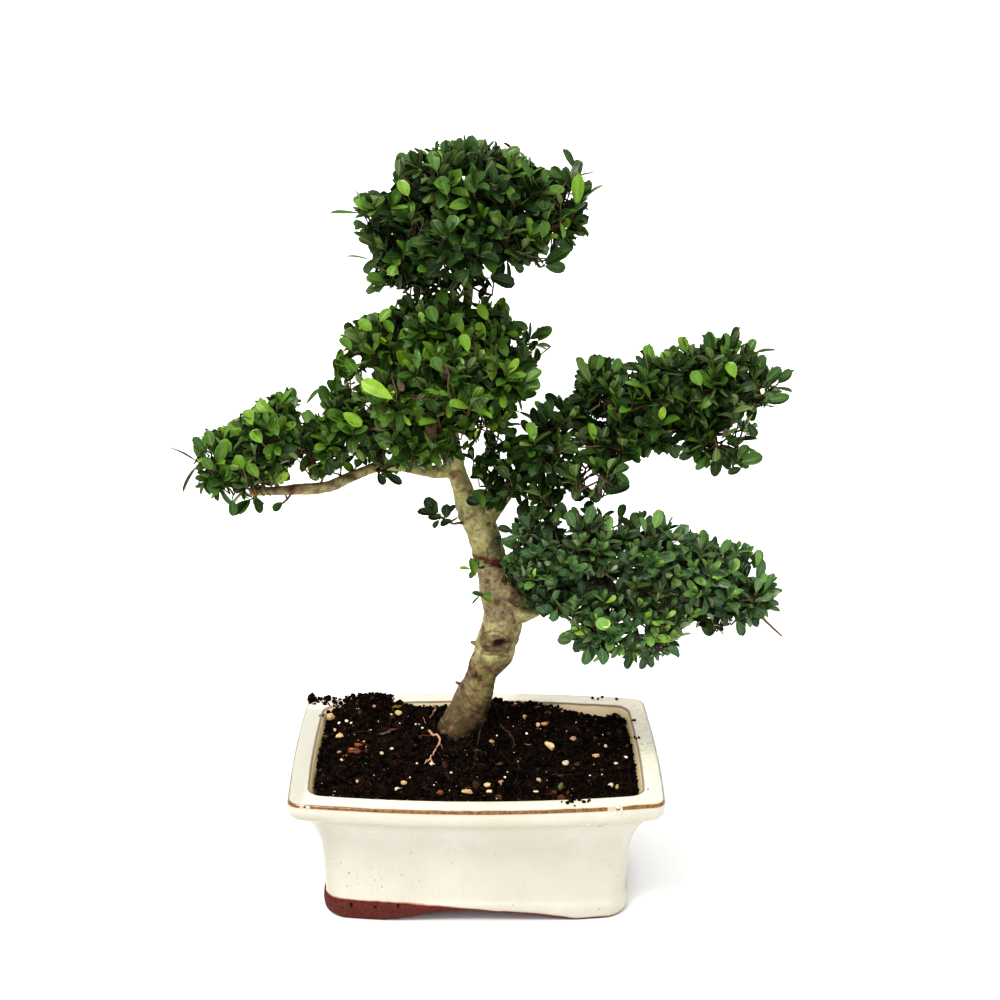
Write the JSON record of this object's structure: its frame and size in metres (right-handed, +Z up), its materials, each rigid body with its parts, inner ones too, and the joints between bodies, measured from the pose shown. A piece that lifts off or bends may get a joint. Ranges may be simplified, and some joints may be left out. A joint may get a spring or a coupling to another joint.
{
  "type": "japanese holly bonsai",
  "caption": "Small-leaved holly bonsai with a leaning trunk and clipped leaf pads, planted in a cream glazed rectangular pot with a flared lip and four feet.",
  "frame": {"origin": "on the surface that the pot stands on, under the middle of the whole outline, 4 mm to the right of the pot's own middle as seen from the front", "axes": "+Z up, X along the pot's long sides with +X to the right as seen from the front, -Y towards the front that the tree is looked at from"},
  "size_m": [0.4113, 0.1754, 0.5238],
  "materials": {
    "glazed_clay": "glossy cream glaze, thin and brown on the edges, over a bare red-brown clay foot",
    "screen_plastic": "matte",
    "potting_mix": "rough, moist",
    "bark": "thin smooth bark, tan to pale green with brown patches",
    "leaf": "glossy deep green, lighter new growth",
    "leaf_dark": "glossy deep blue-green",
    "leaf_new": "glossy fresh green"
  },
  "bodies": {
    "root": {"drain_screen_left": "screen_plastic", "drain_screen_right": "screen_plastic", "foliage_left_1": "leaf", "foliage_left_2": "leaf", "foliage_left_3": "leaf", "foliage_left_4": "leaf", "foliage_left_5": "leaf", "foliage_left_6": "leaf", "foliage_left_7": "leaf", "foliage_mid_1": "leaf", "foliage_mid_10": "leaf", "foliage_mid_11": "leaf", "foliage_mid_12": "leaf", "foliage_mid_2": "leaf", "foliage_mid_3": "leaf", "foliage_mid_4": "leaf", "foliage_mid_5": "leaf", "foliage_mid_6": "leaf", "foliage_mid_7": "leaf", "foliage_mid_8": "leaf", "foliage_mid_9": "leaf", "foliage_right_lower_1": "leaf_dark", "foliage_right_lower_10": "leaf_dark", "foliage_right_lower_2": "leaf_dark", "foliage_right_lower_3": "leaf_dark", "foliage_right_lower_4": "leaf_dark", "foliage_right_lower_5": "leaf_dark", "foliage_right_lower_6": "leaf_dark", "foliage_right_lower_7": "leaf_dark", "foliage_right_lower_8": "leaf_dark", "foliage_right_lower_9": "leaf_dark", "foliage_right_upper_1": "leaf", "foliage_right_upper_10": "leaf", "foliage_right_upper_11": "leaf", "foliage_right_upper_12": "leaf", "foliage_right_upper_2": "leaf", "foliage_right_upper_3": "leaf", "foliage_right_upper_4": "leaf", "foliage_right_upper_5": "leaf", "foliage_right_upper_6": "leaf", "foliage_right_upper_7": "leaf", "foliage_right_upper_8": "leaf", "foliage_right_upper_9": "leaf", "foliage_top_1": "leaf", "foliage_top_10": "leaf", "foliage_top_2": "leaf", "foliage_top_3": "leaf", "foliage_top_4": "leaf", "foliage_top_5": "leaf", "foliage_top_6": "leaf", "foliage_top_7": "leaf", "foliage_top_8": "leaf", "foliage_top_9": "leaf", "pot": "glazed_clay", "soil": "potting_mix", "sprig_left_leaves": "leaf_new", "sprout_lower_leaves": "leaf_new", "sprout_upper_leaves": "leaf_new", "tree_wood": "bark"}
  },
  "joints": []
}
